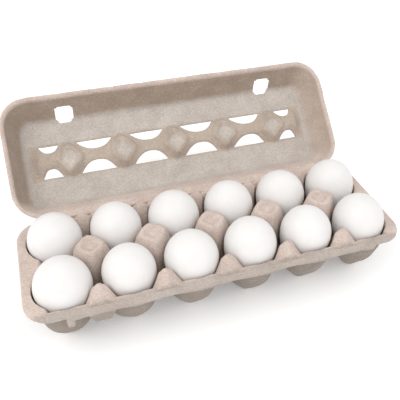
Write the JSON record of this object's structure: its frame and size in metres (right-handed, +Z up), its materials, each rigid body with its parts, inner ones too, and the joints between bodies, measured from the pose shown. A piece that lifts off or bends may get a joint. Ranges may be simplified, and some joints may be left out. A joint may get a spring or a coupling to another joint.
{
  "type": "egg carton with eggs",
  "caption": "Open moulded-pulp egg carton with a hinged lid, latch tabs and slots, holding two rows of white eggs.",
  "frame": {"origin": "bottom centre of the box round the whole open carton, on the surface it stands on", "axes": "+X along the carton's length, +Y from the front edge to the hinge and the open lid, +Z up"},
  "size_m": [0.2976, 0.185, 0.1194],
  "materials": {
    "pulp": "rough moulded paper pulp, matt, with a fibrous grain",
    "eggshell": "white hen's eggshell, satin with fine pores"
  },
  "bodies": {
    "tray": {"tray": "pulp", "egg_front_1": "eggshell", "egg_front_2": "eggshell", "egg_front_3": "eggshell", "egg_front_4": "eggshell", "egg_front_5": "eggshell", "egg_front_6": "eggshell", "egg_back_1": "eggshell", "egg_back_2": "eggshell", "egg_back_3": "eggshell", "egg_back_4": "eggshell", "egg_back_5": "eggshell", "egg_back_6": "eggshell"},
    "lid": {"lid": "pulp"}
  },
  "joints": [
    {"name": "lid_hinge", "type": "hinge", "parent": "tray", "child": "lid", "pos_m": [0, 0.01112, 0.0486], "axis": [1, 0, 0], "range_deg": [-43.4, 136.6]}
  ]
}
